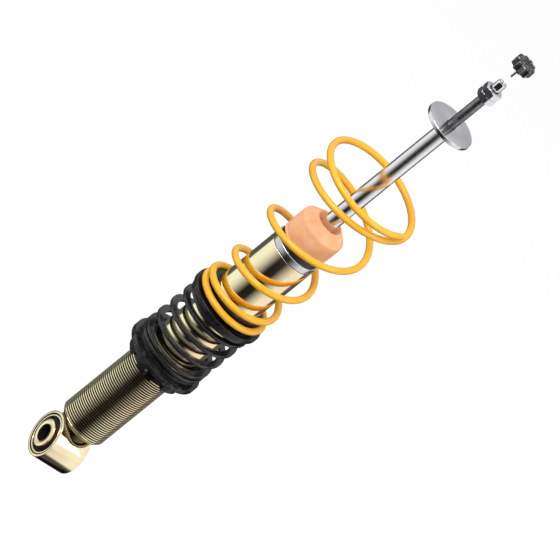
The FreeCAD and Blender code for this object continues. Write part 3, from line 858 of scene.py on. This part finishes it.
def make_bush_sleeve():
    bm = bmesh.new()
    half = EYE_HALF - 0.4
    outer = EYE_BORE_R - 0.02
    outline = [(SLEEVE_BORE_R, -half), (outer, -half), (outer, half), (SLEEVE_BORE_R, half)]
    lathe(bm, rounded(outline, 0.5), axis="Y")
    piece("bush_sleeve", bm, "damper_body", ["bush_outer_sleeve"], "gold_plated_steel")


def make_bush_rubber():
    """Rubber between the sleeves, dished at its ends, with a raised lip on each rim."""
    bm = bmesh.new()
    inner, outer = BOLT_SLEEVE_R + 0.07, SLEEVE_BORE_R - 0.01
    top = EYE_HALF - 1.2
    half = [
        (inner, top), (inner + 0.5, top - 0.15), (inner + 1.1, top - 1.8), ((inner + outer) / 2, top - 2.4),
        (outer - 1.0, top - 1.8), (outer - 0.45, top - 0.15), (outer, top),
    ]
    outline = [(r, z) for r, z in reversed(half)] + [(r, -z) for r, z in half]
    lathe(bm, rounded(outline, 0.4, 2), axis="Y")
    piece("bush_rubber_ring", bm, "damper_body", ["bush_rubber"], "bush_rubber", 60.0)


def make_inner_sleeve():
    """Bolt sleeve: bright end faces with rounded rims, and painted shade in its bore."""
    bm = bmesh.new()
    outline = [(BOLT_R, -BOLT_SLEEVE_HALF), (BOLT_SLEEVE_R, -BOLT_SLEEVE_HALF)]
    outline += [(BOLT_SLEEVE_R, BOLT_SLEEVE_HALF), (BOLT_R, BOLT_SLEEVE_HALF)]
    lathe(bm, rounded(outline, 0.6), axis="Y")
    made = piece("bolt_sleeve", bm, "eye_sleeve", ["bush_inner_sleeve"], "gold_plated_steel")
    # painted shade: the bore's faces get the near-black finish
    paint_faces(made, "dark_groove", lambda c: math.hypot(c.x, c.z) < BOLT_R + 0.25)


def make_eye_weld():
    """Rippled bead along the line where the base's neck meets the eye."""
    bm = bmesh.new()
    count, ripples = 240, 48
    rings = []
    for k in range(count):
        angle = 2 * math.pi * k / count
        x, y = NECK_R * math.cos(angle), NECK_R * math.sin(angle)
        z = math.sqrt(EYE_R * EYE_R - x * x)
        place = Vector((x, y, z))
        out = Vector((math.cos(angle), math.sin(angle), 0))
        normal = Vector((x, 0, z)).normalized()
        ripple = 1.0 + 0.10 * math.cos(angle * ripples)
        wander = 1.0 + 0.10 * noise.noise(place * 0.12)
        leg = 2.5 * ripple * wander
        ring = [bm.verts.new(place - out * 0.5 - normal * 0.5)]
        ends = (place + normal * leg - out * 0.15, place + out * leg * 0.95 - normal * 0.15)
        belly = place + (out + normal) * leg * 0.62
        for t in (0.0, 0.2, 0.4, 0.6, 0.8, 1.0):
            point = ends[0] * (1 - t) ** 2 + belly * (2 * t * (1 - t)) + ends[1] * t * t
            point.y = max(-EYE_HALF, min(EYE_HALF, point.y))
            ring.append(bm.verts.new(point))
        rings.append(ring)
    skin(bm, rings)
    piece("weld_bead", bm, "damper_body", ["eye_weld"], "weld_metal", 50.0)


# ------------------------------------------------------------------ damper body

def closed_by(bm, outline, size, segments):
    """Turns the rest of a threaded part's outline, from the thread's top round to its bottom."""
    def from_top(i):
        return abs(outline[i][0] - size["r"]) + abs(outline[i][1] - size["top"])

    start = min(range(len(outline)), key=from_top)
    open_lathe(bm, outline[start:] + outline[:start], segments)
    weld(bm, 0.002)


def make_body_tube():
    """Tube with a real helical thread below and a plain barrel above."""
    bm = bmesh.new()
    thread(bm, THREAD, ROUND)
    weld(bm)
    outline = [
        (TUBE_R, THREAD["top"], 0), (TUBE_R, TUBE_TOP), (TUBE_BORE_R, TUBE_TOP), (TUBE_BORE_R, TUBE_BOTTOM),
        (TUBE_R - 0.4, TUBE_BOTTOM, 0.2), (TUBE_R, THREAD["bottom"], 0),
    ]
    closed_by(bm, rounded(outline, 0.6), THREAD, ROUND)
    made = piece("threaded_tube", bm, "damper_body", ["body_tube"], "gold_plated_steel", 25.0)
    made.data.materials[0] = MATERIALS["gold_thread"]


def make_end_ring():
    """Bright ring that closes the barrel, with a neck inside it and a recess for the wiper."""
    bm = bmesh.new()
    outline = [
        (9.2, 292.3), (21.4, 292.3), (21.4, TUBE_TOP, 0), (24.7, TUBE_TOP),
        (24.7, 312.0), (13.0, 312.0), (13.0, 306.0), (9.2, 306.0),
    ]
    lathe(bm, rounded(outline, 0.7))
    piece("head_ring", bm, "damper_body", ["end_ring"], "bright_steel")


def make_dust_cap():
    bm = bmesh.new()
    outline = [
        (8.5, 313.0), (20.5, 313.0), (20.5, 312.05), (23.5, 312.05), (23.5, 318.0, 1.2), (8.5, 318.0),
    ]
    lathe(bm, rounded(outline, 0.4))
    piece("cap", bm, "damper_body", ["dust_cap"], "black_plastic")


# ------------------------------------------------------------------ spring seat

def make_seat_ring():
    bm = bmesh.new()
    outline = [
        (RING_BORE_R, 143.42), (35.6, 143.42), (35.6, 146.5),
        (29.8, 146.5), (29.8, 150.5), (RING_BORE_R, 150.5),
    ]
    lathe(bm, rounded(outline, 0.55))
    piece("spring_seat_ring", bm, "spring_seat", ["seat_ring"], "black_anodised")


def make_slip_washer():
    bm = bmesh.new()
    outline = [(RING_BORE_R, 141.4), (33.75, 141.4), (33.75, 143.4), (RING_BORE_R, 143.4)]
    lathe(bm, rounded(outline, 0.35))
    piece("slide_washer", bm, "spring_seat", ["slip_washer"], "low_friction_plastic")


def make_spacer():
    bm = bmesh.new()
    outline = [
        (RING_BORE_R, 216.2), (40, 216.2), (40, 221.5), (30.5, 221.5), (30.5, 233.0), (RING_BORE_R, 233.0),
    ]
    lathe(bm, rounded(outline, 0.8))
    piece("spring_divider", bm, "spring_spacer", ["spacer_ring"], "black_anodised")


def collar_column(angle):
    """Outline of the collar at an angle: a lug, or the shallower floor of a notch."""
    step = 360.0 / LUGS
    turn = (math.degrees(angle) - LUG_ANGLE + step / 2) % step - step / 2
    outer = NOTCH_R if abs(turn) > step / 2 - NOTCH_HALF else LUG_R
    return [
        (COLLAR_BORE_R, COLLAR_BOTTOM + 0.9), (COLLAR_BORE_R + 0.9, COLLAR_BOTTOM),
        (outer, COLLAR_BOTTOM), (outer, FLANGE_BOTTOM), (COLLAR_R, FLANGE_BOTTOM),
        (COLLAR_R, COLLAR_TOP), (COLLAR_BORE_R, COLLAR_TOP),
    ]


def make_collar():
    """Castellated collar: lugs below, flange above, eased edges and a drilled screw hole."""
    bm = bmesh.new()
    angles = [360.0 * k / ROUND for k in range(ROUND)]
    for k in range(LUGS):
        middle = LUG_ANGLE + 360.0 / LUGS * (k + 0.5)
        for wall in (middle - NOTCH_HALF, middle + NOTCH_HALF):
            angles += [(wall - 0.02) % 360.0, (wall + 0.02) % 360.0]
    polar(bm, [math.radians(angle) for angle in sorted(angles)], collar_column)
    weld(bm, 0.03)
    made = piece("castellated_collar", bm, "collar", ["adjuster_collar"], "black_anodised", 30.0)
    drill(made, LUG_ANGLE, SCREW_Z, 2.0, (24.5, 34.0))
    ease_edges(made, 0.00055)


def radial_frames(azimuth, height, reaches):
    """Frames along a level line out from the damper's axis, at some distances from it."""
    turn = math.radians(azimuth)
    side = Vector((-math.sin(turn), math.cos(turn), 0))
    frames = []
    for reach in reaches:
        place = Vector((reach * math.cos(turn), reach * math.sin(turn), height))
        frames.append((place, side, Vector((0, 0, 1))))
    return frames


def drill(target, azimuth, height, radius, span):
    """Cuts a radial hole through a piece, over a span of distances from the axis."""
    bm = bmesh.new()
    sweep(bm, radial_frames(azimuth, height, span), [circle(radius)] * 2)
    bmesh.ops.recalc_face_normals(bm, faces=bm.faces)
    bmesh.ops.scale(bm, vec=(MM, MM, MM), verts=bm.verts)
    mesh = bpy.data.meshes.new("cutter")
    bm.to_mesh(mesh)
    bm.free()
    cutter = bpy.data.objects.new("cutter", mesh)
    bpy.context.collection.objects.link(cutter)
    cut = target.modifiers.new("hole", "BOOLEAN")
    cut.operation = "DIFFERENCE"
    cut.solver = "EXACT"
    cut.object = cutter
    bake(target)
    bpy.data.objects.remove(cutter)


def ease_edges(target, width):
    """Rounds a piece's sharp edges."""
    bevel = target.modifiers.new("edges", "BEVEL")
    bevel.width = width
    bevel.segments = 3
    bevel.limit_method = "ANGLE"
    bevel.angle_limit = math.radians(30.0)
    bevel.harden_normals = True
    bake(target)


def bake(target):
    """Applies the piece's modifiers to its mesh."""
    bpy.context.view_layer.update()
    graph = bpy.context.evaluated_depsgraph_get()
    made = bpy.data.meshes.new_from_object(target.evaluated_get(graph))
    old = target.data
    target.modifiers.clear()
    target.data = made
    made.shade_smooth()
    made.set_sharp_from_angle(angle=math.radians(32.0))
    bpy.data.meshes.remove(old)


def make_collar_screw():
    """Cup-ended grub screw, a little below the lug's face, with a hexagon socket."""
    bm = bmesh.new()
    socket = []
    for across, up in circle(1.0, 24):
        angle = math.atan2(up, across)
        wide = 1.0 / math.cos((angle + math.pi / 6) % (math.pi / 3) - math.pi / 6)
        socket.append((wide * across, wide * up))
    sections = [circle(1.97, 24), circle(1.97, 24), circle(1.7, 24), socket, socket]
    sweep(bm, radial_frames(LUG_ANGLE, SCREW_Z, (27.2, 30.3, 30.6, 30.6, 29.2)), sections)
    piece("lock_screw", bm, "collar", ["collar_screw"], "spring_steel", 30.0)


# ------------------------------------------------------------------ springs

def make_helper_spring():
    """Flat-wire helper spring with rounded wire edges."""
    bm = bmesh.new()
    frames = coil_frames(HELPER_STATIONS, HELPER_START, lambda turn: HELPER_R, True)
    wide, tall = HELPER_WIRE[0] / 2, HELPER_WIRE[1] / 2
    section = rounded([(-wide, -tall), (wide, -tall), (wide, tall), (-wide, tall)], 0.6)
    sweep(bm, frames, [section] * len(frames))
    made = piece("helper_coil", bm, "spring_seat", ["helper_spring"], "black_powder_coat", 50.0)
    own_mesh(made)


def make_main_spring():
    """Round-wire conical spring with eased, blunt wire ends."""
    bm = bmesh.new()
    frames = coil_frames(
        MAIN_STATIONS, MAIN_START, lambda turn: smooth_through(MAIN_STATIONS, turn, 2), False)
    sections = [circle(MAIN_WIRE_R)] * len(frames)
    sections[0] = sections[-1] = circle(MAIN_END_R)
    sweep(bm, frames, sections)
    made = piece("main_coil", bm, "spring_spacer", ["main_spring"], "yellow_powder_coat", 50.0)
    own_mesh(made)


# ------------------------------------------------------------------ rod, stud and what is on them

def make_rod():
    """Polished rod with its shoulder, then the stud: helical thread, relief and flats at the tip."""
    bm = bmesh.new()
    thread(bm, STUD, 72)
    weld(bm)
    outline = [
        (STUD["r"], STUD["bottom"], 0), (STUD["r"], SHOULDER_Z), (ROD_R, SHOULDER_Z, 0.6),
        (ROD_R, ROD_FOOT, 0.6), (SPIGOT_R, ROD_FOOT), (SPIGOT_R, SPIGOT_BOTTOM, 0.5),
        (ROD_BORE_R, SPIGOT_BOTTOM), (ROD_BORE_R, STUD_TOP), (STUD_TIP_R, STUD_TOP, 0.6),
        (STUD_TIP_R, 565.86, 0), (STUD_TIP_R, 565.74, 0), (STUD_TIP_R, 565.3, 0.1), (4.3, 565.1, 0.1),
        (4.3, 564.7, 0.1), (STUD["r"], STUD["top"], 0),
    ]
    closed_by(bm, rounded(outline, 0.25), STUD, 72)
    turn = Matrix.Rotation(math.radians(FLATS_ANGLE), 3, "Z")
    for vert in bm.verts:
        place = turn.inverted() @ vert.co
        if place.z > 565.8 and abs(place.x) > STUD_TIP_FLATS / 2:
            place.x = math.copysign(STUD_TIP_FLATS / 2, place.x)
            vert.co = turn @ place
    made = piece("rod", bm, "rod_assembly", ["piston_rod"], "hard_chrome", 28.0)
    paint_faces(made, "stud_steel", lambda c: 504.2 < c.z < 564.8)


def make_disc():
    """Polished disc on the rod's shoulder, with softly rounded rims."""
    bm = bmesh.new()
    bore_r = STUD["r"] + 0.1
    outline = [(bore_r, SHOULDER_Z), (DISC_R, SHOULDER_Z), (DISC_R, DISC_TOP), (bore_r, DISC_TOP)]
    lathe(bm, rounded(outline, 0.6))
    piece("support_plate", bm, "rod_assembly", ["support_disc"], "polished_steel")


def nut_column(bottom, top):
    """Outline maker for a hexagon nut whose corners are turned off at both faces."""
    face_r = NUT_HALF + 0.1

    def column(angle):
        wide = NUT_HALF / math.cos(angle % (math.pi / 3) - math.pi / 6)
        flat_r = min(wide - 0.01, face_r)
        drop = max(0.0, (wide - face_r) * 0.62)
        return [
            (5.02, bottom + 0.5), (5.5, bottom), (flat_r - 0.1, bottom), (flat_r, bottom + 0.04),
            (wide - 0.005, bottom + drop + 0.1), (wide, bottom + drop + 0.25), (wide, top - drop - 0.25),
            (wide - 0.005, top - drop - 0.1), (flat_r, top - 0.04), (flat_r - 0.1, top), (5.5, top),
            (5.02, top - 0.5),
        ]
    return column


def make_nuts():
    bm = bmesh.new()
    angles = [math.radians(3.0 * k) for k in range(120)]
    for bottom in NUT_BOTTOMS:
        polar(bm, angles, nut_column(bottom, bottom + NUT_HEIGHT), math.radians(NUT_ANGLE))
    weld(bm, 0.001)
    piece("lock_nuts", bm, "rod_assembly", ["stud_nuts"], "polished_steel", 24.0)


# ------------------------------------------------------------------ knob

def make_knob():
    """Hand knob with soft lobes, a sunk top face with a raised rim and boss, and a dimple."""
    bm = bmesh.new()
    phase = math.radians(LOBE_ANGLE)

    def wave(r, angle):
        share = min(1.0, max(0.0, (r - 6.4) / 3.2))
        return r - 1.75 * share * (0.5 - 0.5 * math.cos(KNOB_LOBES * (angle - phase))) ** 0.8

    top = KNOB_TOP
    outline = [
        (KEY_R, KNOB_BOTTOM), (KNOB_R - 1.2, KNOB_BOTTOM, 0.4), (KNOB_R, KNOB_BOTTOM + 1.0, 0.8),
        (KNOB_R, top - 1.2, 0.9), (KNOB_R - 1.0, top, 0.7), (8.1, top, 0.2), (7.8, top - 0.5, 0.2),
        (5.4, top - 0.5, 0.2), (5.1, top - 0.1, 0.2), (3.6, top - 0.1, 0.3), (2.6, top - 0.9, 0.6),
        (KEY_R, top - 0.9),
    ]
    lathe(bm, rounded(outline, 0.25, 3), 180, wave=wave)
    for k in range(12):
        add_pip(bm, 6.6, math.radians(30.0 * k), top - 0.55, 0.42, 0.5)
    made = piece("knob_body", bm, "knob", ["adjuster_knob"], "black_anodised", 40.0)
    made.data.materials[0] = MATERIALS["knob_anodised"]


def add_pip(bm, reach, angle, height, radius, tall):
    """Small raised pip, rounded on top, that stands a little into the face below it."""
    place = Vector((reach * math.cos(angle), reach * math.sin(angle), height))
    made = bmesh.ops.create_icosphere(bm, subdivisions=2, radius=radius)
    for vert in made["verts"]:
        vert.co = Vector((vert.co.x, vert.co.y, vert.co.z * tall / radius)) + place


# ------------------------------------------------------------------ bump stop

def make_bump_stop():
    """Moulded foam: foot lip, slightly barrelled side, conical shoulder and a funnel round the rod."""
    bm = bmesh.new()
    outline = [
        (FOAM_BORE_R, 318.35, 0.3), (24.2, 318.35, 0.6), (24.7, 319.2, 0.6), (24.65, 320.6, 0.5),
        (23.9, 321.2, 0.4), (24.3, 322.0, 0.6), (24.6, 326.0, 4.0), (24.7, 333.0, 4.0),
        (24.6, 343.5, 3.2), (14.6, 351.95, 1.4), (13.2, 351.7, 0.7), (9.2, 343.8, 1.5),
        (FOAM_BORE_R, 341.8, 0.6),
    ]
    lathe(bm, rounded(outline, 0.5, 4), 144)
    weld(bm)
    made = piece("foam_stop", bm, "bump_stop", ["bump_stop"], "bump_foam", 70.0)
    for vert in made.data.vertices:
        across = Vector((vert.co.x, vert.co.y, 0))
        if across.length > 0.0095:
            swell = noise.noise(vert.co * 60.0) * 0.00028 + noise.noise(vert.co * 260.0) * 0.00008
            vert.co -= across.normalized() * abs(swell)


# ------------------------------------------------------------------ put together

def finish_cad_nodes():
    """Gives every CAD node its material slot's finish; the welded base is stained by the heat."""
    for part in frame["record"]["subparts"]:
        node = NODES[part["node"]]
        finish = "heat_stained" if part["node"] == "tube_base" else part["material_slot"]
        for place in range(max(1, len(node.data.materials))):
            if place < len(node.data.materials):
                node.data.materials[place] = MATERIALS[finish]
            else:
                node.data.materials.append(MATERIALS[finish])


MATERIALS = make_materials()
finish_cad_nodes()
make_world()
make_floor()
for light in LIGHTS:
    make_light(*light)
for make in (
    make_lower_eye, make_bush_sleeve, make_bush_rubber, make_inner_sleeve, make_eye_weld,
    make_body_tube, make_end_ring, make_dust_cap, make_seat_ring, make_slip_washer, make_spacer,
    make_collar, make_collar_screw, make_helper_spring, make_main_spring, make_rod, make_disc,
    make_nuts, make_knob, make_bump_stop,
):
    make()

bpy.context.scene.view_settings.view_transform = "Standard"
